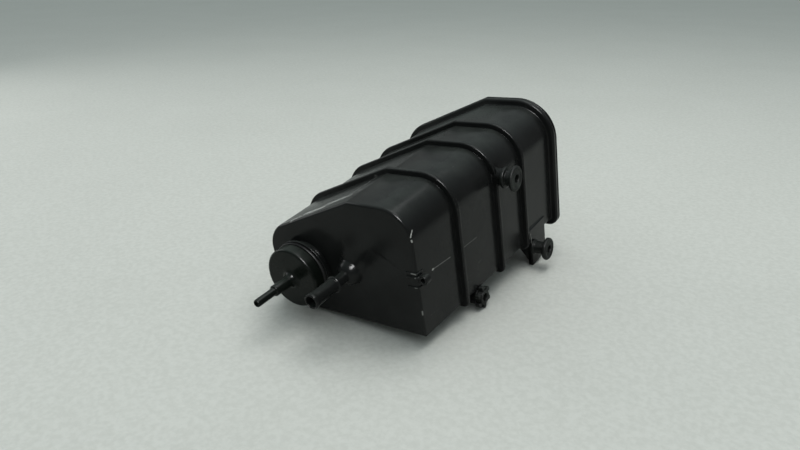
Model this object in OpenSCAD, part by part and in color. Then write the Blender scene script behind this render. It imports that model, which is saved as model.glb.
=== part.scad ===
// Charcoal canister with a tapered, ribbed housing, a welded cover, a round vent cap and three rubber mounts.
// X runs across the housing towards the mounts, Y from the port face to the cover, Z up.
// The origin is the middle of the mouth of the upper mount.

/* [Housing] */
// Width at the weld flange
body_w = 130; // [122:1:150]
// Height at the weld flange
body_h = 95; // [90:1:115]
// Length from the port face to the weld plane
body_l = 189; // [184:1:230]
// Distance of the roof ridge from the middle
ridge_x = 13.6; // [10:0.2:20]
// Slope of the roof beside the ridge in degrees
roof_slope = 22.2; // [17:0.2:24]
// Radius of the high top corner
crown_r = 26; // [22:0.5:34]
// Radius of the low top corner
shoulder_r = 23; // [16:0.5:26]
// Radius of the two bottom corners
heel_r = 3.2; // [3:0.1:6]
// Inset of every side at the port face
draft = 4.2; // [2:0.1:5]
// Thickness of the long walls
wall = 2.5; // [2:0.1:2.8]
// Thickness of the port wall
port_wall = 3; // [2.4:0.1:4]
// Rounding around the port face
edge_r = 3.5; // [2:0.1:4]

/* [Ribs and flange] */
// Place of the first rib along the housing
rib_1_y = 45.3; // [36:0.1:52]
// Place of the second rib
rib_2_y = 96.6; // [80:0.2:98]
// Place of the third rib
rib_3_y = 135.5; // [118:0.5:138]
// Height of the ribs
rib_h = 3.8; // [1.5:0.1:4.5]
// Thickness of the ribs
rib_t = 3.4; // [2.4:0.1:4.5]
// Softened edge of the ribs
rib_edge = 0.7; // [0.3:0.1:1]
// Width of the weld flange beyond the wall
flange_w = 4.8; // [4:0.1:9]
// Thickness of the weld flange
flange_t = 4; // [3:0.1:7]

/* [Cover] */
// Thickness of the cover rim
rim_t = 3.5; // [3:0.1:7]
// Depth of the hollow inside the cover
cover_hollow = 1; // [0.6:0.1:1.5]
// Height of the raised panel
panel_h = 3; // [1.5:0.1:5]
// Distance of the raised panel from the wall line
panel_gap = 7; // [4:0.5:14]
// Height of the stiffening ribs on the panel
brace_h = 2; // [1:0.1:4]
// Thickness of the stiffening ribs
brace_t = 2.4; // [1.6:0.1:4]

/* [Tank pipe] */
// Tank pipe across from the middle
pipe_x = 8.6; // [6:0.2:20]
// Tank pipe above the bottom
pipe_z = 41.3; // [36:0.5:50]
// Length of the tank pipe
pipe_l = 40; // [30:0.5:55]
// Outer radius of the tank pipe
pipe_r = 4.8; // [4.4:0.1:6]
// Radius of the bore
pipe_bore_r = 2.6; // [1.8:0.1:2.8]
// Radius of the wider mouth
pipe_mouth_r = 3.7; // [3:0.1:3.8]
// Radius of the neck behind the stop ring
neck_r = 3.7; // [3.4:0.1:4]
// Distance of the stop ring from the port face
stop_y = 15.5; // [12:0.5:20]
// Radius of the stop ring
stop_r = 5.7; // [5.3:0.1:7]
// Radius of the rounded root
root_r = 8.4; // [7:0.1:9]
// Height of the fading ridge above the pipe
root_h = 18; // [10:0.5:24]

/* [Vent port] */
// Vent port across from the middle
vent_x = -29.7; // [-32:0.1:-28]
// Vent port above the bottom
vent_z = 36.8; // [32:0.1:40]
// Outer radius of the moulded neck
seat_r = 18; // [17:0.1:18.6]
// Radius of the passage in the neck
seat_bore_r = 12; // [9:0.1:12.5]
// Radius of the pocket for the strainer
strainer_r = 15; // [13.5:0.1:15.6]
// Depth of the strainer
strainer_t = 5; // [3:0.1:6]
// Radius of the moulded rings at the neck
ring_r = 22.2; // [20.5:0.1:22.6]
// Thickness of a moulded ring
ring_t = 2; // [1.2:0.1:2.4]
// Thickness of the seal ring
seal_t = 2.6; // [1.5:0.1:3.5]
// Outer radius of the cap
cap_r = 21.2; // [20.5:0.1:22.6]
// Length of the cap
cap_l = 8.4; // [7:0.1:14]
// Thickness of the cap face
cap_t = 2.6; // [2:0.1:4]
// Rounding of the cap edge
cap_edge = 1.8; // [0.5:0.1:2]
// Length of the stepped foot of the vent pipe
foot_l = 17; // [6:0.5:20]
// Radius of the foot
foot_r = 3.8; // [3.2:0.1:5]
// Length of the vent pipe beyond the cap face
vent_l = 33; // [26:0.5:40]
// Outer radius of the vent pipe
vent_r = 2.7; // [2.4:0.1:3]
// Radius of its bore
vent_bore_r = 1.5; // [1:0.1:1.7]

/* [Corner eye] */
// Height of the eye above the bottom
lug_z = 45; // [30:0.5:52]
// Radius of the eye
lug_r = 3.2; // [2.4:0.1:4]
// Length of the eye
lug_l = 5; // [4:0.5:9]
// Radius of the hole in the eye
lug_hole_r = 1.5; // [0.8:0.1:1.8]
// Length of the low ribs beside the eye
clip_l = 8; // [5:0.5:12]
// Thickness of the low ribs
clip_t = 1.1; // [0.8:0.1:2]
// Height of the low ribs
clip_h = 0.8; // [0.5:0.1:1.5]

/* [Mounts] */
// Radius of the sockets in the rubber mounts
socket_r = 3; // [2:0.1:3.2]
// Upper mount along the housing
upper_y = 102; // [98:0.5:112]
// Upper mount above the bottom
upper_z = 72; // [50:0.5:74]
// Length of the moulded boss under the upper mount
upper_boss_l = 6; // [3:0.5:12]
// Length of the upper rubber spool
upper_l = 10; // [9:0.5:16]
// Radius of the outer flange of the spool
upper_r = 8.9; // [7.5:0.1:12]
// Rear mount along the housing
rear_y = 149; // [147:0.5:152]
// Rear mount above the bottom
rear_z = -6; // [-9:0.5:-3]
// Length of the rear rubber button
rear_l = 13; // [10:0.5:18]
// Radius of the flange of the rear button
rear_r = 8.7; // [7:0.1:12]
// Drop of the rear tab below the bottom
tab_drop = 21.5; // [18:0.5:30]
// Thickness of the rear tab
tab_t = 4; // [3:0.1:6]
// Front mount along the housing
front_y = 66.5; // [60:0.5:72]
// Front mount above the bottom
front_z = -4; // [-7:0.5:-3]
// Length of the moulded boss behind the front button
front_boss_l = 24; // [16:0.5:30]
// Thickness of the front button
front_l = 4; // [3:0.1:6]
// Radius of the front button between its teeth
front_r = 5.4; // [5:0.1:7]
// Number of teeth on the front button
teeth = 6; // [5:1:8]
// Radius of a tooth
teeth_r = 1.75; // [1.4:0.05:2]

/* [Filling] */
// Place of the partition across the housing
split_x = -8; // [-10:0.2:-6]
// Thickness of the partition
split_t = 2.4; // [2:0.1:3]
// Height of the ledges that hold the pads off the port wall
ledge_h = 6; // [4:0.5:10]
// Thickness of a fleece pad
pad_t = 5; // [3:0.5:8]
// Thickness of a grid plate
grid_t = 3.5; // [2:0.1:5]
// Room for the springs behind the grid plates
spring_l = 18; // [14:0.5:24]
// Radius of the spring coil
coil_r = 8; // [7.5:0.1:10]
// Radius of the spring wire
wire_r = 0.9; // [0.6:0.1:1.1]
// Gap between loose pieces and the walls
slip = 0.3; // [0.2:0.05:0.5]

/* [Hidden] */
$fn = 64;
big = 400;
// Where the pieces of the stack begin along the housing
pad_y = port_wall + ledge_h;
bed_y = pad_y + pad_t;
cover_y = body_l + cover_hollow;
grid_y = cover_y - spring_l - grid_t;
back_pad_y = grid_y - pad_t;
split_end = grid_y + grid_t + 4;
// Stack of the vent neck, measured out from the port face
ring_y = ring_t + 2;
seal_y = ring_y + ring_t;
skirt_y = seal_y + seal_t;
face_y = skirt_y + cap_l;
neck_l = face_y - cap_t - slip;
// Outer faces of the mounts
upper_x = wall_x(upper_y) + upper_boss_l;
mouth_x = upper_x + upper_l;
tab_x = wall_x(rear_y) + 1.4;
front_x = wall_x(front_y + front_r + 2 * teeth_r) + 0.2;

// Inset of the tapered sides at a place along the housing
function inset(y) = draft * (1 - y / body_l);

// Place of the mount side wall
function wall_x(y) = body_w / 2 - inset(y);

// Inside of the long walls, as a growth of the outline
function inside(y) = -inset(y) - wall;

function arc_points(centre, r, from, to, steps) =
    [for (i = [0:steps]) let (a = from + (to - from) * i / steps) centre + r * [cos(a), sin(a)]];

// Outline of the housing across its length, grown evenly on all sides
function outline(grow) =
    let (left = -body_w / 2 - grow)
    let (right = body_w / 2 + grow)
    let (top = body_h + grow)
    let (crown = crown_r + grow)
    let (shoulder = shoulder_r + grow)
    let (heel = max(heel_r + grow, 0.2))
    let (ridge = ridge_x - grow * tan(roof_slope / 2))
    let (eave = top - (ridge - left) * tan(roof_slope))
    let (drop = shoulder * tan(45 - roof_slope / 2))
    concat(
        arc_points([right - heel, heel - grow], heel, -90, 0, 4),
        arc_points([right - crown, top - crown], crown, 0, 90, 16),
        [[ridge, top]],
        arc_points([left + shoulder, eave - drop], shoulder, 90 + roof_slope, 180, 12),
        arc_points([left + heel, heel - grow], heel, 180, 270, 4));

// Solid through a row of stations, each a place along the housing and a growth of the outline
module loft(stations) {
    rings = [for (s = stations) [for (p = outline(s[1])) [p[0], s[0], p[1]]]];
    count = len(rings[0]);
    last = len(stations) - 1;
    points = [for (ring = rings) each ring];
    sides = [for (k = [0:last - 1]) for (i = [0:count - 1])
        let (j = (i + 1) % count)
        [k * count + i, k * count + j, (k + 1) * count + j, (k + 1) * count + i]];
    near_cap = [for (i = [count - 1:-1:0]) i];
    far_cap = [for (i = [0:count - 1]) last * count + i];
    polyhedron(points, concat(sides, [near_cap, far_cap]));
}

// Plate with softened edges, standing out from the tapered wall
module band(y, thick, proud, near_edge, far_edge) {
    grow = proud - inset(y);
    near = [[y, grow - near_edge], [y + near_edge, grow]];
    far = [[y + thick - far_edge, grow], [y + thick, grow - far_edge]];
    loft(concat(near, far));
}

module to_origin() {
    translate([-mouth_x, -upper_y, -upper_z]) children();
}

// Turns a shape so that its height runs out of the port face
module on_port(x, z) {
    translate([x, 0, z]) rotate([90, 0, 0]) children();
}

// Turns a shape so that its height runs out of the mount side
module on_side(x, y, z) {
    translate([x, y, z]) rotate([0, 90, 0]) children();
}

// Space on the main side or the vent side of the partition
module side_space(main, gap) {
    edge = split_x + (main ? 1 : -1) * (split_t / 2 + gap);
    translate([main ? edge : edge - big, -big / 2, -big / 2]) cube([big, big, big]);
}

module cavity() {
    difference() {
        loft([[port_wall, inside(port_wall)], [body_l + 1, inside(body_l + 1)]]);
        translate([split_x - split_t / 2, 0, -big / 2]) cube([split_t, split_end, big]);
        for (z = [body_h * 0.18, body_h * 0.62]) {
            translate([-big / 2, 0, z]) cube([big, pad_y, 2]);
        }
    }
}

module shell_outside() {
    edge = [for (a = [0:22.5:90])
        let (y = edge_r * (1 - cos(a)))
        [y, -inset(y) - edge_r * (1 - sin(a))]];
    loft(concat(edge, [[body_l, 0]]));
    for (y = [rib_1_y, rib_2_y, rib_3_y]) {
        band(y, rib_t, rib_h, rib_edge, rib_edge);
    }
    band(body_l - flange_t, flange_t, flange_w - inset(body_l) + inset(body_l - flange_t), 1.2, 0.5);
}

module tank_pipe() {
    on_port(pipe_x, pipe_z) {
        rotate_extrude() polygon([[0, -1], [neck_r + 1.6, -1], [neck_r + 1.6, root_r - 1.2],
            [neck_r, root_r + 1.2], [neck_r, stop_y - 1], [stop_r - 0.4, stop_y - 1], [stop_r, stop_y - 0.5],
            [stop_r, stop_y + 0.5], [stop_r - 0.4, stop_y + 1], [pipe_r, stop_y + 1], [pipe_r, pipe_l - 0.6],
            [pipe_r - 0.6, pipe_l], [0, pipe_l]]);
    }
    translate([pipe_x, 0.8, pipe_z]) {
        rotate([90, 0, 0]) sphere(root_r);
        rotate([-18, 0, 0]) cylinder(r1 = root_r - 0.3, r2 = root_r - 1.2, h = root_h);
    }
}

module vent_neck() {
    on_port(vent_x, vent_z) {
        translate([0, 0, -1]) cylinder(r = seat_r, h = neck_l + 1);
        translate([0, 0, -1]) cylinder(r = ring_r - 2.4, h = ring_t + 1);
        translate([0, 0, ring_y]) cylinder(r = ring_r, h = ring_t);
    }
}

module rear_tab() {
    low = -tab_drop;
    translate([tab_x - tab_t, 0, 0]) rotate([90, 0, 90]) linear_extrude(tab_t) {
        polygon([[rear_y - 7, 13], [rear_y - 3, -4], [rear_y - 3, low], [rear_y + 12, low],
            [rear_y + 21.5, low + 10.5], [rear_y + 21.5, 13]]);
    }
    translate([0, rear_y, 0]) rotate([90, 0, 0]) linear_extrude(3) {
        polygon([[tab_x - 1, 2], [tab_x - 1, low], [tab_x - 19, 2]]);
    }
}

module mount_bosses() {
    on_side(upper_x - upper_boss_l - wall / 2, upper_y, upper_z) {
        cylinder(r = socket_r + 3, h = upper_boss_l + wall / 2);
        cylinder(r = socket_r + 1, h = upper_boss_l + wall / 2 + 2.8);
    }
    on_side(tab_x - 1, rear_y, rear_z) {
        cylinder(r = socket_r, h = 5);
    }
    on_side(front_x - front_boss_l, front_y, front_z) {
        cylinder(r1 = socket_r + 1.6, r2 = front_r + teeth_r / 2, h = front_boss_l);
    }
    // Web that carries the front boss under the bottom
    translate([front_x - front_boss_l, front_y - socket_r, front_z]) {
        cube([front_boss_l - 1, 2 * socket_r, inset(front_y) - front_z + wall / 2]);
    }
}

// Small eye on the wall behind the corner of the port face, with low ribs that wrap the corner
module corner_lug() {
    corner = wall_x(0);
    on_port(corner + lug_r - 0.3, lug_z) {
        translate([0, 0, -lug_l - 1]) cylinder(r = lug_r, h = lug_l);
    }
    for (z = [lug_z - lug_r - 2 * clip_t, lug_z + lug_r / 2, lug_z + lug_r + clip_t]) {
        translate([corner - clip_l, -clip_h, z]) cube([clip_l - edge_r / 3, edge_r, clip_t]);
        translate([corner - edge_r, -clip_h, z]) cube([edge_r + clip_h, lug_l + 2, clip_t]);
    }
}

module canister_body() {
    to_origin() color([0.07, 0.07, 0.075]) difference() {
        union() {
            shell_outside();
            tank_pipe();
            vent_neck();
            rear_tab();
            mount_bosses();
            corner_lug();
        }
        cavity();
        on_port(pipe_x, pipe_z) {
            translate([0, 0, -port_wall - 1]) cylinder(r = pipe_bore_r, h = pipe_l + big);
            translate([0, 0, stop_y + 4]) cylinder(r = pipe_mouth_r, h = pipe_l);
        }
        on_port(vent_x, vent_z) {
            translate([0, 0, -port_wall - 1]) cylinder(r = seat_bore_r, h = big);
            translate([0, 0, neck_l - strainer_t]) cylinder(r = strainer_r, h = big);
        }
        on_side(front_x - 6, front_y, front_z) {
            cylinder(r = socket_r, h = 7);
        }
        on_port(wall_x(0) + lug_r - 0.3, lug_z) {
            translate([0, 0, -lug_l + 0.5]) cylinder(r = lug_hole_r, h = lug_l + 1);
        }
    }
}

module end_cover() {
    plate_y = body_l + rim_t;
    to_origin() color([0.075, 0.075, 0.08]) {
        difference() {
            union() {
                loft([[body_l, flange_w - 0.5], [body_l + 0.5, flange_w],
                    [plate_y - 1.2, flange_w], [plate_y, flange_w - 1.2]]);
                loft([[plate_y - 1, -panel_gap], [plate_y + panel_h - 1, -panel_gap - 1],
                    [plate_y + panel_h, -panel_gap - 2]]);
                for (x = [-0.28, 0, 0.28]) {
                    translate([x * body_w - brace_t / 2, plate_y, 16]) {
                        cube([brace_t, panel_h + brace_h, body_h * 0.48]);
                    }
                }
            }
            loft([[body_l - 1, inside(body_l)], [cover_y, inside(body_l)]]);
        }
        for (main = [true, false]) {
            for (high = [true, false]) {
                translate([spring_x(main), cover_y + 0.5, spring_z(main, high)]) rotate([90, 0, 0]) {
                    cylinder(r = coil_r - wire_r - slip - 1, h = 5);
                }
            }
        }
    }
}

module vent_cap() {
    inner = seat_r + 0.1;
    tip = face_y + vent_l;
    to_origin() color([0.065, 0.065, 0.07]) difference() {
        on_port(vent_x, vent_z) rotate_extrude() {
            polygon(concat(
                [[0, face_y - cap_t], [inner, face_y - cap_t], [inner, skirt_y]],
                [[cap_r - 0.5, skirt_y], [cap_r, skirt_y + 0.5]],
                arc_points([cap_r - cap_edge, face_y - cap_edge], cap_edge, 0, 90, 6),
                [[foot_r + 1.2, face_y], [foot_r, face_y + 1.2], [foot_r, face_y + foot_l - 0.8]],
                [[vent_r, face_y + foot_l], [vent_r, tip - 1], [vent_r - 0.8, tip], [0, tip]]));
        }
        on_port(vent_x, vent_z) translate([0, 0, -5]) cylinder(r = vent_bore_r, h = big);
    }
}

module vent_cap_seal() {
    to_origin() color([0.05, 0.05, 0.05]) on_port(vent_x, vent_z) translate([0, 0, seal_y]) {
        difference() {
            cylinder(r = ring_r - 0.4, h = seal_t);
            translate([0, 0, -1]) cylinder(r = seat_r + 0.1, h = seal_t + 2);
        }
    }
}

module vent_strainer() {
    to_origin() color([0.2, 0.2, 0.19]) on_port(vent_x, vent_z) {
        translate([0, 0, neck_l - strainer_t]) cylinder(r = strainer_r - 0.2, h = strainer_t);
    }
}

// Rubber spool with a flange at each end
module upper_isolator() {
    inner_r = upper_r - 1.4;
    groove_r = socket_r + 2.6;
    to_origin() color([0.13, 0.15, 0.14]) on_side(upper_x, upper_y, upper_z) difference() {
        rotate_extrude() polygon([[0, 0], [inner_r - 0.6, 0], [inner_r, 0.6], [inner_r, 2.2],
            [inner_r - 0.6, 2.8], [groove_r, 3], [groove_r, upper_l - 3], [upper_r - 0.6, upper_l - 2.6],
            [upper_r, upper_l - 2], [upper_r, upper_l - 0.7], [upper_r - 0.7, upper_l], [0, upper_l]]);
        translate([0, 0, -1]) cylinder(r = socket_r + 1.1, h = 4);
        translate([0, 0, 4.2]) cylinder(r = socket_r, h = upper_l);
    }
}

// Rubber button on a stem
module rear_isolator() {
    stem_r = socket_r + 1.9;
    to_origin() color([0.13, 0.15, 0.14]) on_side(tab_x, rear_y, rear_z) difference() {
        rotate_extrude() polygon([[0, 0], [stem_r + 1.1, 0], [stem_r + 1.1, 1.4], [stem_r, 2],
            [stem_r, rear_l - 4.4], [rear_r - 0.6, rear_l - 3.2], [rear_r, rear_l - 2.6], [rear_r, rear_l - 0.9],
            [rear_r - 0.9, rear_l], [0, rear_l]]);
        translate([0, 0, -1]) cylinder(r = socket_r + 0.1, h = 5.2);
        translate([0, 0, 5.4]) cylinder(r = socket_r, h = rear_l);
    }
}

// Flat rubber button with teeth around its rim
module front_isolator() {
    to_origin() color([0.13, 0.15, 0.14]) on_side(front_x, front_y, front_z) difference() {
        union() {
            cylinder(r = front_r, h = front_l);
            for (i = [0:teeth - 1]) {
                rotate([0, 0, i * 360 / teeth]) translate([front_r + teeth_r - 0.4, 0, 0]) {
                    cylinder(r = teeth_r, h = front_l - 0.6);
                }
            }
        }
        translate([0, 0, -1]) cylinder(r = socket_r, h = front_l + 2);
    }
}

// Flat piece that fills a chamber across the housing
module chamber_slice(main, y, thick, margin) {
    intersection() {
        loft([[y, inside(y) - slip - margin], [y + thick, inside(y) - slip - margin]]);
        side_space(main, slip + margin);
    }
}

module pad(main, y) {
    to_origin() color([0.82, 0.82, 0.78]) chamber_slice(main, y, pad_t, 0);
}

module carbon(main) {
    to_origin() color([0.03, 0.03, 0.03]) intersection() {
        loft([[bed_y, inside(bed_y) - slip], [back_pad_y, inside(back_pad_y) - slip]]);
        side_space(main, slip);
    }
}

module grid(main) {
    to_origin() color([0.85, 0.84, 0.8]) difference() {
        chamber_slice(main, grid_y, grid_t, 0);
        intersection() {
            chamber_slice(main, grid_y - 1, grid_t + 2, 5);
            for (x = [-9:9]) {
                for (z = [0:5]) {
                    translate([x * 7, grid_y - 1, 5 + z * 15]) cube([3, grid_t + 2, 10]);
                }
            }
        }
    }
}

function spring_x(main) = (split_x + (main ? 1 : -1) * body_w / 2) / 2;
function spring_z(main, high) = body_h * ((main ? 0.295 : 0.232) + (high ? (main ? 0.379 : 0.274) : 0));

// Height of the wire along the coil, with a closed turn at each end
function coil_rise(turn, turns, rise) =
    let (lay = 2.2 * wire_r)
    turn < 1 ? turn * lay
    : turn > turns - 1 ? rise - (turns - turn) * lay
    : lay + (turn - 1) * (rise - 2 * lay) / (turns - 2);

module spring(main, high) {
    turns = 5;
    steps = 16;
    around = 6;
    rise = spring_l - 2 * wire_r - 0.4;
    rings = [for (k = [0:turns * steps])
        let (turn = k / steps)
        let (height = 0.2 + wire_r + coil_rise(turn, turns, rise))
        [for (j = [0:around - 1])
            let (a = j * 360 / around)
            let (r = coil_r + wire_r * cos(a))
            [r * cos(turn * 360), r * sin(turn * 360), height + wire_r * sin(a)]]];
    last = len(rings) - 1;
    sides = [for (k = [0:last - 1]) for (j = [0:around - 1])
        let (n = (j + 1) % around)
        [k * around + n, k * around + j, (k + 1) * around + j, (k + 1) * around + n]];
    start = [for (j = [0:around - 1]) j];
    end = [for (j = [around - 1:-1:0]) last * around + j];
    place = [spring_x(main), cover_y, spring_z(main, high)];
    to_origin() color([0.6, 0.6, 0.62]) translate(place) rotate([90, 0, 0]) {
        polyhedron([for (ring = rings) each ring], concat(sides, [start, end]));
    }
}

canister_body();
end_cover();
vent_cap();
vent_cap_seal();
vent_strainer();
upper_isolator();
rear_isolator();
front_isolator();
pad(true, pad_y);  // main_port_pad
pad(false, pad_y);  // vent_port_pad
carbon(true);  // main_carbon
carbon(false);  // vent_carbon
pad(true, back_pad_y);  // main_cover_pad
pad(false, back_pad_y);  // vent_cover_pad
grid(true);  // main_grid
grid(false);  // vent_grid
spring(true, false);  // main_spring_low
spring(true, true);  // main_spring_high
spring(false, false);  // vent_spring_low
spring(false, true);  // vent_spring_high
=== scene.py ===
from math import copysign, cos, hypot, pi, radians, sin, sqrt, tan
import bmesh
import bpy
from mathutils import Matrix, Vector


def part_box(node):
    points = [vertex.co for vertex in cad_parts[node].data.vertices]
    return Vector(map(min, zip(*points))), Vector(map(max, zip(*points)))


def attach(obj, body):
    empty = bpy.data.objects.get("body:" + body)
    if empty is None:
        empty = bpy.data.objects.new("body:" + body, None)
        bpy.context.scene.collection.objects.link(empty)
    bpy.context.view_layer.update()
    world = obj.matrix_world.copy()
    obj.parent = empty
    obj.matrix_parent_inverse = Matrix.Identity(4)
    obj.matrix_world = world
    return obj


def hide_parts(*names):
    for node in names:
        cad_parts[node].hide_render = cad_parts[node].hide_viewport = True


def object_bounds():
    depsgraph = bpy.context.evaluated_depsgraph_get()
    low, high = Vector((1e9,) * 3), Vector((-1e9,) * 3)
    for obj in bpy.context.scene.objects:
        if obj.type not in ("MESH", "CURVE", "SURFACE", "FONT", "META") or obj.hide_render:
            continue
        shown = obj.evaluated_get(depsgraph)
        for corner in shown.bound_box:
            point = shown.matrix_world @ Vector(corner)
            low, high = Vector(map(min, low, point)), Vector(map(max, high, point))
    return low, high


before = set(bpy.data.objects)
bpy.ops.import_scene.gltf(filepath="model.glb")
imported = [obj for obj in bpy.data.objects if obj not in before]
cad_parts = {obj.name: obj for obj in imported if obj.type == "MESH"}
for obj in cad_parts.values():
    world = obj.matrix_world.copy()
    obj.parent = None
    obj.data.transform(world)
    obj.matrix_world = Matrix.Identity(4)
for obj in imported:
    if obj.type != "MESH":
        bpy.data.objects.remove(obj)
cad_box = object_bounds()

body_w, body_h, body_l = 130.0, 95.0, 189.0
draft, wall, port_wall, edge_r = 4.2, 2.5, 3.0, 3.5
rib_places, rib_h, rib_t = (45.3, 96.6, 135.5), 3.8, 3.4
flange_w, flange_t, flange_edge, heel_r = 4.8, 4.0, 1.8, 3.2
cover_low, cover_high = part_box("end_cover")
weld_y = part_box("canister_body")[1].y
datum = Vector(((cover_low.x + cover_high.x) / 2, weld_y - body_l / 1000, cover_low.z + flange_w / 1000))


def inset(y):
    """How far the tapered sides stand in at a place along the housing, in millimetres."""
    return draft * (1 - y / body_l)


def wall_x(y):
    return body_w / 2 - inset(y)


def quarter(steps):
    """Even angles over a quarter turn, for rounded edges."""
    return [k * pi / 2 / steps for k in range(steps + 1)]


def outline_loop(bm):
    """Draws the housing's section as one face with rounded corners and keeps its loop."""
    slope, crown_r, shoulder_r, ridge_x = radians(22.2), 26.0, 23.0, 13.6
    half = body_w / 2
    eave = body_h - (ridge_x + half) * tan(slope)
    corners = [(half, 0), (half, body_h), (ridge_x, body_h), (-half, eave), (-half, 0)]
    verts = [bm.verts.new((x, 0, z)) for x, z in corners]
    bm.faces.new(verts)
    shoulder_reach = shoulder_r * tan(pi / 4 - slope / 2)
    for vert, reach, steps in ((verts[0], heel_r, 6), (verts[1], crown_r, 26),
                               (verts[3], shoulder_reach, 20), (verts[4], heel_r, 6)):
        bmesh.ops.bevel(bm, geom=[vert], offset=reach, offset_type="OFFSET", affect="VERTICES",
                        segments=steps, profile=0.5, material=-1)
    face = bm.faces[:][0]
    loop = [corner.vert for corner in face.loops]
    bm.faces.remove(face)
    return loop


def carry_on(bm, loop):
    """Extrudes a loop of edges and returns the new loop in the same order."""
    edges = [bm.edges.get((loop[i - 1], loop[i])) for i in range(len(loop))]
    made = bmesh.ops.extrude_edge_only(bm, edges=edges)["geom"]
    old_at = {tuple(round(c, 6) for c in v.co): i for i, v in enumerate(loop)}
    ordered = [None] * len(loop)
    for v in made:
        if isinstance(v, bmesh.types.BMVert):
            ordered[old_at[tuple(round(c, 6) for c in v.co)]] = v
    return ordered


def loft(bm, stations):
    """Carries the section through stations (place, growth, wear) and caps both ends."""
    wear = bm.verts.layers.float.get("wear") or bm.verts.layers.float.new("wear")
    first = loop = outline_loop(bm)
    base = [v.co.copy() for v in loop]
    grow = []
    for i, here in enumerate(base):
        before, after = here - base[i - 1], base[(i + 1) % len(base)] - here
        n1, n2 = (Vector((d.z, 0, -d.x)).normalized() for d in (before, after))
        grow.append((n1 + n2) / (1 + n1.dot(n2)))
    middle = Vector((0, 0, body_h / 2))
    side = copysign(1, sum(g.dot(b - middle) for g, b in zip(grow, base)))
    for k, (y, reach, worn) in enumerate(stations):
        if k:
            loop = carry_on(bm, loop)
        for v, b, g in zip(loop, base, grow):
            # The rounding around the port face is larger along the top than along the sides.
            soft = 0.4 + 0.2 * max(side * g.z, 0) if y < edge_r else 1
            far = (reach + draft) * soft - draft if y < edge_r else reach
            even = max(far, 0.4 - heel_r) if b.z < heel_r + 0.01 else far
            v.co = b + side * g * even + Vector((copysign(1, b.x), 0, -1)) * (far - even)
            v.co.y = y * soft
            v[wear] = worn
    bm.faces.new(first)
    bm.faces.new(loop)


def rib_stations(y):
    """The rounded section of a rib, with a small fillet where it leaves the wall."""
    soft, foot = 1.1, 0.15
    near = [(y - foot, 0, 0), (y - foot * 0.3, foot * 0.3, 0), (y, foot, 0.1)]
    near += [(y + soft * (1 - cos(a)), rib_h - soft * (1 - sin(a)), sin(2 * a)) for a in quarter(5)]
    far = [(2 * y + rib_t - s, reach, worn) for s, reach, worn in reversed(near)]
    return [(s, reach - inset(s), worn) for s, reach, worn in near + far]


def block(bm, low, high):
    made = bmesh.ops.create_cube(bm, size=1)["verts"]
    low, high = Vector(low), Vector(high)
    bmesh.ops.scale(bm, vec=high - low, verts=made)
    bmesh.ops.translate(bm, vec=(low + high) / 2, verts=made)


bm = bmesh.new()
stations = [(edge_r * (1 - cos(a)), -inset(edge_r * (1 - cos(a))) - edge_r * (1 - sin(a)), 0)
            for a in quarter(7)]
for rib_y in rib_places:
    stations += rib_stations(rib_y)
flange_y = body_l - flange_t
stations += [(flange_y - 1, -inset(flange_y), 0), (flange_y - 0.3, 0.3 - inset(flange_y), 0), (flange_y, 1, 0)]
stations += [(flange_y + flange_edge * (1 - cos(a)), flange_w - flange_edge * (1 - sin(a)), 0.5 * sin(a))
             for a in quarter(5)]
stations += [(body_l - 0.5, flange_w, 0.5), (body_l, flange_w - 0.5, 0.2), (body_l, -wall, 0),
             (port_wall, -inset(port_wall) - wall, 0)]
loft(bm, stations)
bmesh.ops.recalc_face_normals(bm, faces=bm.faces)
ledge_y, pad_y, partition_y = port_wall - 0.2, 9, 171
block(bm, (-9.2, ledge_y, 6), (-6.8, partition_y, 77.5))
block(bm, (-57.5, ledge_y, 17.1), (57.5, pad_y, 19.1))
block(bm, (-46, ledge_y, 58.9), (57.5, pad_y, 60.9))


def join(bm, part):
    """Puts a finished detail into the piece it is moulded on."""
    keep = bpy.data.meshes.new("detail")
    part.to_mesh(keep)
    part.free()
    bm.from_mesh(keep)
    bpy.data.meshes.remove(keep)


# The tank pipe leaves a rounded root, a ball and a leaning ridge that fade into the port face.
pipe_x, pipe_z, root_r, ridge_half = 8.6, 41.3, 9.0, 9.6
lean = Vector((sin(radians(19)), cos(radians(19))))
root = bmesh.new()
bmesh.ops.create_grid(root, x_segments=96, y_segments=96, size=0.5)
bmesh.ops.scale(root, vec=(50, 50, 1), verts=root.verts)
for v in root.verts:
    aside, up = v.co.x + 4, v.co.y + 7
    from_axis = hypot(aside, up)
    ball = sqrt(max(root_r ** 2 - from_axis ** 2, 0)) - max(from_axis - root_r, 0) - 0.3
    along, across = aside * lean.x + up * lean.y, aside * lean.y - up * lean.x
    crest = 4.6 - 0.27 * along
    ridge = (crest + 2.5) * sqrt(max(1 - (across / ridge_half) ** 2, 0)) - 2.5
    ridge += min(along, 0) * 2 - max(abs(across) - ridge_half, 0)
    swell = (ball + ridge + hypot(ball - ridge, 0.6)) / 2
    rise = (swell + hypot(swell, 1.1)) / 2
    v.co = Vector((pipe_x + aside, 0.12 - rise, pipe_z + up))
bmesh.ops.recalc_face_normals(root, faces=root.faces)
if sum(f.normal.y for f in root.faces) > 0:
    bmesh.ops.reverse_faces(root, faces=root.faces)
join(bm, root)


def lathe(bm, chain, centre, axis, steps=64):
    """Turns a chain of (radius, height) points about an axis that leaves the housing."""
    along, across = Vector(axis), Vector((0, 0, 1))
    verts = [bm.verts.new(Vector(centre) + along * h + across * r) for r, h in chain]
    edges = [bm.edges.new(pair) for pair in zip(verts, verts[1:])]
    bmesh.ops.spin(bm, geom=verts + edges, cent=Vector(centre), axis=along, dvec=(0, 0, 0),
                   angle=2 * pi, steps=steps, use_merge=True)


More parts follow.
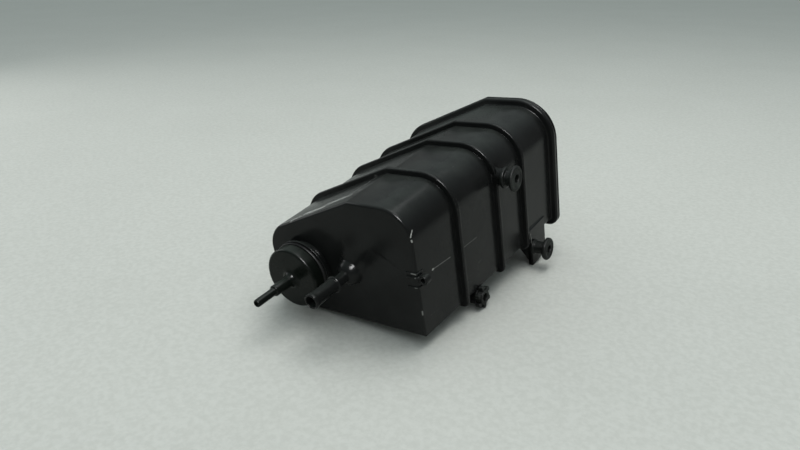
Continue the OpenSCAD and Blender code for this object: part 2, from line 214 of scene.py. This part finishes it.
def soften(bm, width, segments=3, sharp=28):
    """Rounds every edge that is still sharp."""
    bmesh.ops.remove_doubles(bm, verts=bm.verts, dist=0.002)
    bmesh.ops.recalc_face_normals(bm, faces=bm.faces)
    edges = [e for e in bm.edges if len(e.link_faces) == 2 and e.calc_face_angle(0) > radians(sharp)]
    bmesh.ops.bevel(bm, geom=edges, offset=width, offset_type="OFFSET", affect="EDGES", segments=segments,
                    profile=0.5, material=-1, clamp_overlap=True)


out_of_port, out_of_side = (0, -1, 0), (1, 0, 0)
pipe_neck = [(5.2, 0), (4.9, 5.2), (4.2, 7.4), (3.8, 9.4), (3.75, 16.5)]
pipe_stop = [(5.3, 16.6), (5.7, 17.1), (5.7, 17.9), (5.3, 18.5), (4.8, 18.7)]
pipe_mouth = [(4.7, 24), (4.75, 35.5), (5.1, 37.4), (5.2, 38.8), (5.0, 39.6), (4.5, 40.0)]
pipe_bore = [(4.15, 40.0), (3.85, 39.8), (3.7, 39.2), (3.7, 20.2), (2.6, 19.5), (2.6, 1.0), (0, 1.0)]
pipe = bmesh.new()
lathe(pipe, pipe_neck + pipe_stop + pipe_mouth + pipe_bore, (pipe_x, 0, pipe_z), out_of_port, 72)
soften(pipe, 0.22, 2)
join(bm, pipe)

# The vent neck has two low rings at its foot and a pocket for the strainer.
vent_x, vent_z = -29.7, 36.8
neck_l, seat_r, ring_r, ring_t = 14.1, 18.0, 22.2, 2.0
strainer_r, strainer_t, passage_r = 15, 5, 12
neck_rings = [(ring_r - 2.4, -0.5), (ring_r - 2.4, ring_t), (seat_r, ring_t), (seat_r, 2 * ring_t),
              (ring_r, 2 * ring_t), (ring_r, 3 * ring_t), (seat_r, 3 * ring_t)]
neck_pocket = [(seat_r, neck_l), (strainer_r, neck_l), (strainer_r, neck_l - strainer_t),
               (passage_r, neck_l - strainer_t), (passage_r, 1), (0, 1)]
neck = bmesh.new()
lathe(neck, neck_rings + neck_pocket, (vent_x, 0, vent_z), out_of_port, 96)
soften(neck, 0.45, 3)
join(bm, neck)

# Three bosses carry the rubber mounts. The front one hangs on a web under the bottom.
upper_y, upper_z, upper_x = 102.0, 72.0, wall_x(102.0) + 6.0
rear_y, rear_z, tab_x = 149.0, -6.0, wall_x(149.0) + 1.4
front_y, front_z, front_x, front_boss_l = 66.5, -4.0, wall_x(75.4) + 0.2, 24
boss = bmesh.new()
lathe(boss, [(6.5, -0.6), (6.0, 0.2), (6.0, 6.0), (4.0, 6.0), (4.0, 8.8), (0, 8.8)],
      (upper_x - 6.0, upper_y, upper_z), out_of_side, 64)
lathe(boss, [(4.6, 0), (6.27, front_boss_l), (3.0, front_boss_l), (3.0, 18), (0, 18)],
      (front_x - front_boss_l, front_y, front_z), out_of_side, 64)
block(boss, (front_x - front_boss_l, front_y - 3, front_z), (front_x - 1, front_y + 3, inset(front_y) + 1.2))
lathe(boss, [(3.0, 0), (3.0, 5), (0, 5)], (tab_x - 1, rear_y, rear_z), out_of_side, 40)
soften(boss, 0.4, 2)
join(bm, boss)


def plate(bm, corners, thick):
    """Cuts a plate from its corner points and gives it its thickness."""
    face = bm.faces.new([bm.verts.new(c) for c in corners])
    made = bmesh.ops.extrude_face_region(bm, geom=[face])["geom"]
    bmesh.ops.translate(bm, vec=thick, verts=[g for g in made if isinstance(g, bmesh.types.BMVert)])


# The rear tab hangs below the wall with a gusset in front, and its top runs out into the wall.
tab_t, tab_top, tab_low, gusset_t, top_slant = 4.0, 13, -21.5, 3, 2.5
tab_outline = ((rear_y - 7, tab_top), (rear_y - 3, -4), (rear_y - 3, tab_low), (rear_y + 12, tab_low),
               (rear_y + 21.5, tab_low + 10.5), (rear_y + 21.5, tab_top))
gusset_outline = ((tab_x - 1, 2), (tab_x - 1, tab_low), (tab_x - 19, 2))
tab = bmesh.new()
plate(tab, [(tab_x - tab_t, y, z) for y, z in tab_outline], (tab_t, 0, 0))
plate(tab, [(x, rear_y - 3, z) for x, z in gusset_outline], (0, gusset_t, 0))
for v in tab.verts:
    if v.co.z == tab_top and v.co.x > tab_x - 1:
        v.co.z -= top_slant
soften(tab, 0.7, 3)
join(bm, tab)

# A small eye sits on the wall behind the corner, with low ribs that wrap the corner.
corner, lug_z, lug_rib_t = wall_x(0), 45.0, 1.1
lug = bmesh.new()
lathe(lug, [(0, -6), (3.2, -6), (3.2, -1), (1.5, -1), (1.5, -4.5), (0, -4.5)],
      (corner + 2.9, 0, lug_z), out_of_port, 40)
for z in (lug_z - 5.4, lug_z + 1.6, lug_z + 4.3):
    block(lug, (corner - 8, -0.8, z), (corner - 1, 3, z + lug_rib_t))
    block(lug, (corner - 2, -0.75, z + 0.05), (corner + 0.8, 6, z + lug_rib_t - 0.05))
soften(lug, 0.35, 3)
join(bm, lug)


class Shade:
    """A shader socket that takes part in Python arithmetic."""

    def __init__(self, socket):
        self.socket = socket

    def node(self, kind, settings=None, inputs=None, out=0):
        """Adds any node, with its settings first and then its values and links."""
        tree = self.socket.id_data
        made = tree.nodes.new(kind)
        for name, value in (settings or {}).items():
            setattr(made, name, value)
        for key, value in (inputs or {}).items():
            if isinstance(value, Shade):
                tree.links.new(value.socket, made.inputs[key])
            else:
                made.inputs[key].default_value = value
        return Shade(made.outputs[out])

    def maths(self, operation, *values):
        return self.node("ShaderNodeMath", {"operation": operation}, dict(enumerate(values)))

    def vector(self, operation, *values, out=0):
        return self.node("ShaderNodeVectorMath", {"operation": operation}, dict(enumerate(values)), out)

    def __add__(self, other):
        return self.maths("ADD", self, other)

    def __sub__(self, other):
        return self.maths("SUBTRACT", self, other)

    def __rsub__(self, other):
        return self.maths("SUBTRACT", other, self)

    def __mul__(self, other):
        return self.maths("MULTIPLY", self, other)

    __radd__, __rmul__ = __add__, __mul__

    def limit(self):
        return self.node("ShaderNodeClamp", None, {"Value": self})

    def between(self, low, high):
        """0 below low, 1 above high, and a soft step between them."""
        return self.node("ShaderNodeMapRange", {"interpolation_type": "SMOOTHSTEP"},
                         {"Value": self, "From Min": low, "From Max": high})

    def noise(self, scale, detail=3.0, rough=0.5):
        return self.node("ShaderNodeTexNoise", None,
                         {"Vector": self, "Scale": scale, "Detail": detail, "Roughness": rough})

    def attribute(self, name):
        return self.node("ShaderNodeAttribute", {"attribute_name": name}, None, out=2)

    def bump(self, strength, distance, height, **under):
        return self.node("ShaderNodeBump", None,
                         {"Strength": strength, "Distance": distance, "Height": height, **under})

    def stretch(self, x, y, z):
        return self.vector("MULTIPLY", self, (x, y, z))

    def blend(self, first, second):
        """Mixes two colours by this value."""
        first, second = (c if isinstance(c, Shade) else (*c, 1) for c in (first, second))
        return self.node("ShaderNodeMix", {"data_type": "RGBA"}, {0: self, 6: first, 7: second}, out=2)

    def stroke(self, start, end, width):
        """1 on the line between two points of the housing, fading over its width."""
        a, b = (datum + Vector(p) / 1000 for p in (start, end))
        way = b - a
        from_a = self.vector("SUBTRACT", self, a)
        share = self.vector("DOT_PRODUCT", from_a, way / way.length_squared, out=1).limit()
        nearest = self.node("ShaderNodeVectorMath", {"operation": "SCALE"}, {0: way, 3: share})
        apart = self.vector("DISTANCE", from_a, nearest, out=1)
        return 1 - apart.between(width * 0.00025, width * 0.001)


def new_finish(name):
    """Starts a material and returns it with its shader and its place on the piece."""
    finish = bpy.data.materials.new(name)
    finish.use_nodes = True
    tree = finish.node_tree
    shader = tree.nodes["Principled BSDF"]
    place = Shade(tree.nodes.new("ShaderNodeTexCoord").outputs["Object"])
    return finish, shader, place


def wire(shader, **links):
    for name, value in links.items():
        shader.id_data.links.new(value.socket, shader.inputs[name.replace("_", " ")])


def moulded_plastic(name, dark, grey, gloss, marks=()):
    """Black moulded polyamide: faint sink waves, fine grain, hazy handling marks, pale rubbed edges, and pale dust
    on the upward faces that is also painted sheen.
    """
    finish, shader, place = new_finish(name)
    shader.inputs["Specular IOR Level"].default_value = 0.1
    rub_colour, edge_colour, dust_and_sheen_colour = (0.07, 0.071, 0.069), (0.14, 0.14, 0.135), (0.12, 0.138, 0.12)
    haze = place.noise(28, 4, 0.6)
    fine = place.noise(420, 3, 0.6)
    rubs = place.stretch(1, 0.12, 1).noise(160, 5, 0.7).between(0.62, 0.74) * haze.between(0.45, 0.65)
    edge = place.attribute("wear").between(0.55, 1.0) * place.noise(700, 4, 0.7).between(0.42, 0.7)
    # Pale dust on the upward faces, laid heavy enough to paint in the roofs' sheen as well: partly dust, partly
    # painted sheen.
    dust_and_painted_light = place.attribute("dust_and_sheen").between(0.55, 1.0)
    dust_and_sheen_cloud = place.noise(60, 5, 0.65).between(0.05, 0.95)
    tone = haze.between(0.3, 0.75).blend(dark, grey)
    tone = (rubs * 0.25).blend(tone, rub_colour)
    tone = (edge * 0.16).blend(tone, edge_colour)
    tone = (dust_and_painted_light * dust_and_sheen_cloud * 0.21).blend(tone, dust_and_sheen_colour)
    shine = gloss + haze.between(0.35, 0.7) * 0.07 + rubs * 0.15 + edge * 0.06 + dust_and_painted_light * 0.03
    specks = place.noise(900, 3, 0.7).between(0.28, 0.5)
    streaks = place.stretch(0.2, 1, 0.35).noise(1100, 4, 0.75).between(0.42, 0.66)
    for start, end, width, colour, strength in marks:
        mark = place.stroke(start, end, width) * (streaks if 2 < width < 8 else specks) * strength
        tone = mark.blend(tone, colour)
        shine = shine + mark * 0.25
    wave = place.noise(22, 2, 0.4)
    grain = place.noise(1500, 2, 0.5)
    sink = place.bump(0.5, 0.0014, wave)
    skin = place.bump(0.22, 0.00012, grain + fine * 0.6, Normal=sink)
    wire(shader, Base_Color=tone, Roughness=shine.limit(), Normal=skin)
    return finish


def piece(name, bm, finish, stands_for):
    """Makes the object, in metres in the shared frame, riding on the one body."""
    bmesh.ops.scale(bm, vec=(0.001, 0.001, 0.001), verts=bm.verts)
    bmesh.ops.translate(bm, vec=datum, verts=bm.verts)
    bm.normal_update()
    dust_and_sheen, out = bm.verts.layers.float.new("dust_and_sheen"), bm.verts.layers.float.new("out")
    open_end = max(v.co.x for v in bm.verts) - 0.004
    for v in bm.verts:
        # Upward faces carry the dust that the housing's finish also uses as painted sheen. The outward faces at the
        # open end let the rubber lay its dust there and leave grooves and stems dark as painted shade.
        v[dust_and_sheen] = max(v.normal.z, 0)
        v[out] = max(v.normal.x, 0) * (1 if v.co.x > open_end else 0.3)
    mesh = bpy.data.meshes.new(name)
    bm.to_mesh(mesh)
    bm.free()
    mesh.shade_smooth()
    mesh.set_sharp_from_angle(angle=radians(50))
    mesh.materials.append(finish)
    made = bpy.data.objects.new(name, mesh)
    bpy.context.scene.collection.objects.link(made)
    even = made.modifiers.new("even_normals", "WEIGHTED_NORMAL")
    even.keep_sharp = True
    even.weight = 60
    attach(made, "root")
    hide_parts(stands_for)


# Each mark is a stroke from one point of the housing to another, with its width, colour and strength.
pale, chalk, rub_and_glint_grey = (0.34, 0.34, 0.32), (0.55, 0.55, 0.52), (0.2, 0.2, 0.19)
black, dust_and_painted_light = (0.001, 0.001, 0.001), (0.034, 0.039, 0.035)
# Pale nicks along the upper corner and pale specks on the lug ribs: partly wear, partly painted glints.
corner_nicks_and_glints = [
    ((59.2, 3.8, 77.3), (59.7, 1.6, 75.8), 0.5, chalk, 0.8),
    ((59.7, 1.6, 75.8), (59.9, 0.4, 74.2), 0.6, chalk, 0.9),
    ((60.2, 0.4, 72.2), (60.4, 0.4, 71.4), 0.8, chalk, 0.8),
    ((60.4, 0.6, 23.0), (60.4, 0.6, 20.6), 0.7, chalk, 0.4),
    ((57.0, -0.8, 50.0), (60.4, -0.6, 49.8), 0.6, pale, 0.6),
    ((59.6, -0.8, 47.2), (61.4, 0.6, 47.2), 0.6, pale, 0.5),
    ((58.6, -0.8, 40.2), (60.6, -0.4, 40.2), 0.5, pale, 0.4),
]
wall_scratches = [
    ((61.2, 16.1, 44.4), (61.2, 17.2, 44.3), 0.9, chalk, 0.9),
    ((61.2, 16.8, 44.4), (61.7, 36.5, 42.6), 0.6, rub_and_glint_grey, 0.6),
    ((62.1, 52, 41.4), (62.5, 70, 40.6), 0.5, pale, 0.25),
]
# Two dark lines across the port face.
port_dark_lines = [
    ((31.4, 0, 60.5), (38, 0, 56.8), 1.6, black, 0.8),
    ((36, 0, 57.8), (46.7, 0, 52.1), 0.9, black, 0.5),
]
# Chalk scuffs along the near roof edge, partly painted highlight; the wide pale band and the grey line along the
# ridge are painted highlights.
roof_scuffs_and_highlights = [
    ((-37.5, 3.0, 69.7), (-26, 9.5, 74.6), 3.2, chalk, 0.8),
    ((-29, 9.0, 73.4), (-14.5, 9.8, 79.2), 3.4, chalk, 0.9),
    ((-30.5, 8.2, 72.8), (-16, 9.2, 78.6), 1.9, chalk, 0.5),
    ((-14.5, 14.5, 79.5), (4, 16.2, 87.0), 3.4, chalk, 0.85),
    ((-10, 15.2, 81.3), (1, 15.9, 85.8), 1.9, chalk, 0.35),
    ((-24, 8.0, 75.3), (8, 21.0, 88.5), 6.5, pale, 0.35),
    ((2, 18.0, 86.3), (5, 52.0, 88.3), 2.6, rub_and_glint_grey, 0.5),
]
# Painted shade around the mount bosses and on the lower tab, and a painted highlight along the tab's near edge.
mount_painted_shade_and_highlight = [
    ((tab_x, rear_y - 4.6, 7.0), (tab_x, rear_y - 2.4, -7.0), 0.7, pale, 0.7),
    ((tab_x, rear_y - 4, -19), (tab_x, rear_y + 3, -15), 9, black, 0.8),
    ((upper_x - 5, upper_y, upper_z), (upper_x + 4, upper_y, upper_z), 12, black, 0.9),
    ((front_x - 12, front_y, front_z), (front_x + 1, front_y, front_z), 11, black, 0.9),
]
# Painted sheen in the colour of the dust film: it lightens the far roof bay, and faintly the middle one.
roof_painted_sheen = [
    ((-38, 166, 73), (12, 166, 94), 26, dust_and_painted_light, 0.9),
    ((-34, 118, 74), (8, 118, 91), 16, dust_and_painted_light, 0.25),
]
housing_marks = corner_nicks_and_glints + wall_scratches + port_dark_lines + roof_scuffs_and_highlights + mount_painted_shade_and_highlight + roof_painted_sheen
housing_finish = moulded_plastic("housing_moulded_black", (0.0102, 0.0106, 0.0103), (0.0148, 0.0153, 0.015),
                                 0.17, housing_marks)
piece("housing", bm, housing_finish, "canister_body")

# The end cover is a second moulding of the same polyamide, welded to the flange
# all round. It has a raised panel and three stiffening ribs on its outside.
rim_t, panel_h, hollow, brace_half, brace_low = 3.5, 3.0, 1.0, 1.2, 16
plate_y, rim_edge = body_l + rim_t, 1.8
stations = [(body_l + hollow, -wall, 0), (body_l, -wall, 0), (body_l, flange_w - 0.5, 0.2),
            (body_l + 0.5, flange_w, 0.5)]
stations += [(plate_y - rim_edge + rim_edge * sin(a), flange_w - rim_edge + rim_edge * cos(a),
              0.4 + 0.6 * sin(2 * a)) for a in quarter(5)]
stations += [(plate_y, -6.4, 0), (plate_y + 0.2, -6.9, 0), (plate_y + 0.8, -7.1, 0)]
stations += [(plate_y + panel_h - 1 + sin(a), -9 + cos(a), 0.4 + 0.6 * sin(2 * a)) for a in quarter(4)]
cover = bmesh.new()
loft(cover, stations)
bmesh.ops.recalc_face_normals(cover, faces=cover.faces)
braces = bmesh.new()
for share in (-0.28, 0, 0.28):
    block(braces, (share * body_w - brace_half, plate_y, brace_low),
          (share * body_w + brace_half, plate_y + panel_h + 2, brace_low + body_h * 0.48))
soften(braces, 0.5, 3)
join(cover, braces)
cover_finish = moulded_plastic("cover_moulded_black", (0.0046, 0.0052, 0.0047), (0.0084, 0.0094, 0.0085), 0.17)
piece("cover", cover, cover_finish, "end_cover")

# The vent cap is moulded round with its thin stepped pipe, in the same black
# plastic. It is pushed on the moulded neck and held by its skirt.
skirt_y, face_y, cap_r, cap_edge, cap_in, cap_t, tip = 8.6, 17.0, 21.2, 1.8, 18.1, 2.6, 50.0
vent_bore, step_y = 1.5, 34.0
cap_skirt = [(vent_bore, face_y - cap_t), (cap_in, face_y - cap_t), (cap_in, skirt_y), (cap_r - 0.5, skirt_y),
             (cap_r, skirt_y + 0.5)]
cap_rim = [(cap_r - cap_edge + cap_edge * cos(a), face_y - cap_edge + cap_edge * sin(a)) for a in quarter(6)]
vent_foot = [(8.0, face_y), (6.6, face_y + 0.2), (5.5, face_y + 0.8), (4.7, face_y + 1.9), (4.1, face_y + 3.4),
             (3.8, face_y + 5.2), (3.8, step_y - 0.8), (3.5, step_y - 0.2), (2.7, step_y)]
vent_end = [(2.7, tip - 1.2), (2.5, tip - 0.5), (2.0, tip), (1.6, tip - 0.1), (vent_bore, tip - 0.5),
            (vent_bore, face_y - cap_t)]
cap = bmesh.new()
lathe(cap, cap_skirt + cap_rim + vent_foot + vent_end, (vent_x, 0, vent_z), out_of_port, 96)
soften(cap, 0.3, 3, 40)
cap_finish = moulded_plastic("cap_satin_black", (0.0056, 0.007, 0.0057), (0.009, 0.0112, 0.0092), 0.18)
piece("vent_cap_round", cap, cap_finish, "vent_cap")


# The seal is a ring of soft black rubber, moulded round and squeezed between
# the neck's upper ring and the end of the cap's skirt.
def rubber(name, dark, dust_and_lit_tone, dust_and_sheen):
    """Moulded rubber with a fine skin, and pale matt dust laid on the faces that point outwards, so that the grooves
    and stems behind stay dark as painted shade.
    """
    finish, shader, place = new_finish(name)
    shader.inputs["Specular IOR Level"].default_value = 0.16
    cloud = place.noise(90, 4, 0.6)
    speck = place.noise(1300, 3, 0.6)
    open_side = place.attribute("out").between(0.1, 0.8)
    # Dust and painted light: thick on the outward faces, thin in the grooves and on the back rings and stems, where
    # it is painted shade.
    dust_and_painted_light = (cloud.between(0.4, 0.7) * 0.6 + speck.between(0.55, 0.75) * 0.5) * (open_side * 0.8 + 0.2) * dust_and_sheen
    wire(shader, Base_Color=dust_and_painted_light.limit().blend(dark, dust_and_lit_tone),
         Roughness=(0.36 + open_side * 0.28 + dust_and_painted_light * 0.25).limit(),
         Normal=place.bump(0.35, 0.0002, speck + cloud * 0.5))
    return finish


seal = bmesh.new()
lathe(seal, [(18.1, 6.0), (21.2, 6.0), (21.7, 6.5), (21.8, 7.3), (21.7, 8.1), (21.2, 8.6), (18.1, 8.6), (18.1, 6.0)],
      (vent_x, 0, vent_z), out_of_port, 96)
soften(seal, 0.2, 2, 60)
seal_finish = rubber("seal_soft_black", (0.006, 0.006, 0.006), (0.03, 0.03, 0.029), 0.3)
piece("cap_seal", seal, seal_finish, "vent_cap_seal")

# Three moulded rubber mounts are pushed on the bosses: a spool on the wall, a
# button on a stem on the rear tab, and a flat toothed button at the lower front.
mount_finish = rubber("mount_rubber_dust_and_painted_shade", (0.008, 0.0095, 0.0082), (0.066, 0.076, 0.068), 0.7)
spool_neck = [(0, 3.0), (4.1, 3.0), (4.1, 0), (6.9, 0), (7.5, 0.6), (7.5, 2.2), (6.9, 2.8), (5.6, 3.0), (5.6, 7.0)]
spool_disc = [(8.3, 7.4), (8.9, 8.0), (8.9, 9.3), (8.2, 10.0), (6.6, 10.0), (6.2, 9.6), (4.4, 9.6), (4.0, 10.0)]
spool_socket = [(3.4, 10.0), (3.0, 9.6), (3.0, 4.2), (0, 4.2)]
spool = bmesh.new()
lathe(spool, spool_neck + spool_disc + spool_socket, (upper_x, upper_y, upper_z), out_of_side, 72)
soften(spool, 0.3, 3, 25)
piece("upper_spool", spool, mount_finish, "upper_isolator")

button_stem = [(0, 4.2), (3.1, 4.2), (3.1, 0), (6.0, 0), (6.0, 1.4), (4.9, 2.0), (4.9, 8.6)]
button_disc = [(8.1, 9.8), (8.7, 10.4), (8.7, 12.1), (7.8, 13.0), (6.4, 13.0), (5.8, 12.6), (4.4, 12.6), (4.0, 13.0)]
button_socket = [(3.4, 13.0), (3.0, 12.6), (3.0, 5.4), (0, 5.4)]
button = bmesh.new()
lathe(button, button_stem + button_disc + button_socket, (tab_x, rear_y, rear_z), out_of_side, 72)
soften(button, 0.3, 3, 25)
piece("rear_button", button, mount_finish, "rear_isolator")

teeth, tooth_ring, tooth_r, tooth_t = 6, 6.75, 1.75, 3.4
toothed = bmesh.new()
lathe(toothed, [(3.0, 0), (5.4, 0), (5.4, 4.0), (3.0, 4.0), (3.0, 0)], (front_x, front_y, front_z), out_of_side, 72)
for k in range(teeth):
    turn = k * 2 * pi / teeth
    lathe(toothed, [(0, 0), (tooth_r, 0), (tooth_r, tooth_t), (0, tooth_t)],
          (front_x, front_y + tooth_ring * sin(turn), front_z - tooth_ring * cos(turn)), out_of_side, 28)
soften(toothed, 0.35, 3, 40)
piece("front_toothed_button", toothed, mount_finish, "front_isolator")


# The filling is sealed inside: white needled fleece pads, beds of black carbon
# granules, slotted plates of natural plastic, wire springs and a foam strainer.
def fibre(name, base, shade, scale, rough):
    finish, shader, place = new_finish(name)
    strands = place.stretch(1, 3, 1).noise(scale, 5, 0.7)
    lumps = place.noise(scale * 0.2, 3, 0.5)
    wire(shader, Base_Color=strands.between(0.35, 0.65).blend(shade, base), Roughness=rough - lumps * 0.1,
         Normal=place.bump(0.6, 0.0005, strands + lumps))
    return finish


def granules(name):
    finish, shader, place = new_finish(name)
    grain = place.node("ShaderNodeTexVoronoi", None, {"Vector": place, "Scale": 420})
    tint = place.noise(800, 3, 0.6)
    wire(shader, Base_Color=tint.between(0.35, 0.7).blend((0.006, 0.006, 0.006), (0.03, 0.03, 0.031)),
         Roughness=0.75 - tint * 0.2, Normal=place.bump(0.9, 0.0012, 1 - grain))
    return finish


def spring_wire(name):
    finish, shader, place = new_finish(name)
    shader.inputs["Metallic"].default_value = 1.0
    drawn = place.stretch(1, 0.1, 1).noise(2200, 3, 0.6)
    wire(shader, Base_Color=drawn.between(0.3, 0.7).blend((0.42, 0.42, 0.43), (0.62, 0.62, 0.63)),
         Roughness=0.24 + drawn * 0.2)
    return finish


fleece = fibre("white_needled_fleece", (0.78, 0.77, 0.72), (0.55, 0.54, 0.5), 700, 0.95)
natural = fibre("natural_moulded_plastic", (0.72, 0.71, 0.66), (0.66, 0.65, 0.6), 160, 0.55)
foam = fibre("dark_open_foam", (0.11, 0.11, 0.1), (0.02, 0.02, 0.02), 1100, 0.98)
carbon = granules("carbon_granules")
steel = spring_wire("drawn_spring_wire")
filling = ((fleece, ("main_port_pad", "vent_port_pad", "main_cover_pad", "vent_cover_pad")),
           (natural, ("main_grid", "vent_grid")),
           (carbon, ("main_carbon", "vent_carbon")),
           (foam, ("vent_strainer",)),
           (steel, ("main_spring_low", "main_spring_high", "vent_spring_low", "vent_spring_high")))
for finish, names in filling:
    for name in names:
        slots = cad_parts[name].data.materials
        slots.clear()
        slots.append(finish)

# The floor is a wide pale sheet under the canister as it lies, on the rear tab and
# two low corners. It is laid on the face of the hull that the weight falls through.
hull = bmesh.new()
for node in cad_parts.values():
    hull.from_mesh(node.data)
bmesh.ops.remove_doubles(hull, verts=hull.verts, dist=0.0002)
made = bmesh.ops.convex_hull(hull, input=hull.verts)
balance = sum((c for name in ("main_carbon", "vent_carbon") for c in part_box(name)), Vector()) / 4
resting, touch, least = Vector((0, 0, 1)), balance, None
for face in (g for g in made["geom"] if isinstance(g, bmesh.types.BMFace)):
    away = face.normal if face.normal.dot(face.calc_center_median() - balance) > 0 else -face.normal
    if away.z > -0.9:
        continue
    reach = away.dot(face.verts[0].co - balance)
    foot = balance + away * reach
    sides = [(l.vert.co, l.link_loop_next.vert.co) for l in face.loops]
    turns = [away.dot((b - a).cross(foot - a)) for a, b in sides]
    inside = min(turns) >= -1e-9 or max(turns) <= 1e-9
    if inside and (least is None or reach < least):
        least, resting, touch = reach, -away, foot
hull.free()

floor = bmesh.new()
bmesh.ops.create_grid(floor, x_segments=1, y_segments=1, size=4)
level = Vector((0, 0, 1)).rotation_difference(resting).to_matrix()
bmesh.ops.rotate(floor, matrix=level, cent=(0, 0, 0), verts=floor.verts)
bmesh.ops.translate(floor, vec=touch - resting * 0.0001, verts=floor.verts)
sheet = bpy.data.meshes.new("floor")
floor.to_mesh(sheet)
floor.free()
floor_finish, shader, place = new_finish("pale_speckled_floor")
speckle = place.noise(260, 3, 0.6)
cloud = place.noise(7, 2, 0.5)
floor_tone = speckle.between(0.3, 0.7) * 0.6 + cloud * 0.4
wire(shader, Base_Color=floor_tone.blend((0.51, 0.515, 0.47), (0.605, 0.61, 0.565)),
     Roughness=0.75 - speckle * 0.1)
sheet.materials.append(floor_finish)
ground = bpy.data.objects.new("floor", sheet)
bpy.context.scene.collection.objects.link(ground)

# The light is a soft studio: one wide lamp overhead, a panel that only shows in
# the gloss, a faint window, and an even dim room that is lighter above.
scene = bpy.context.scene
scene.view_settings.view_transform = "Standard"
middle = (cad_box[0] + cad_box[1]) / 2
for name, offset, size, power in (("overhead", (0.2, 0.38, 1.25), 0.95, 10.8),
                                  ("panel", (0.5, -0.55, 0.95), 0.4, 32.0),
                                  ("window", (-1.1, -0.1, 0.5), 0.6, 2.0)):
    lamp = bpy.data.lights.new(name, "AREA")
    lamp.size, lamp.energy = size, power
    stand = bpy.data.objects.new(name, lamp)
    stand.location = middle + Vector(offset)
    stand.rotation_euler = (-Vector(offset)).to_track_quat("-Z", "Y").to_euler()
    stand.visible_diffuse = name != "panel"
    scene.collection.objects.link(stand)
room = bpy.data.worlds.new("room")
scene.world = room
room.use_nodes = True
back = room.node_tree.nodes["Background"]
sky = Shade(room.node_tree.nodes.new("ShaderNodeTexCoord").outputs["Generated"])
height = sky.node("ShaderNodeSeparateXYZ", None, {0: sky}, out=2)
glow = height.between(0.05, 0.85).blend((0.15, 0.152, 0.152), (0.52, 0.6, 0.615))
seen = sky.node("ShaderNodeLightPath")
wire(back, Color=seen.blend(glow, (0.62, 0.64, 0.61)))

# The camera stands where the photograph was taken, with the same field of view
# in a frame of 800 by 450 pixels.
frame_width, focal_pixels = 800, 686.2
eye = datum + Vector((276.8, -284.7, 252.1)) / 1000
ahead, right = Vector((-0.5577, 0.7122, -0.4263)).normalized(), Vector((0.8180, 0.5588, -0.1366))
up = right.cross(ahead).normalized()
right = ahead.cross(up)
lens = bpy.data.cameras.new("camera")
lens.sensor_width, lens.lens = 36.0, 36.0 * focal_pixels / frame_width
lens.clip_start = 0.01
camera = bpy.data.objects.new("camera", lens)
camera.matrix_world = Matrix((right, up, -ahead)).transposed().to_4x4()
camera.location = eye
scene.collection.objects.link(camera)
scene.camera = camera
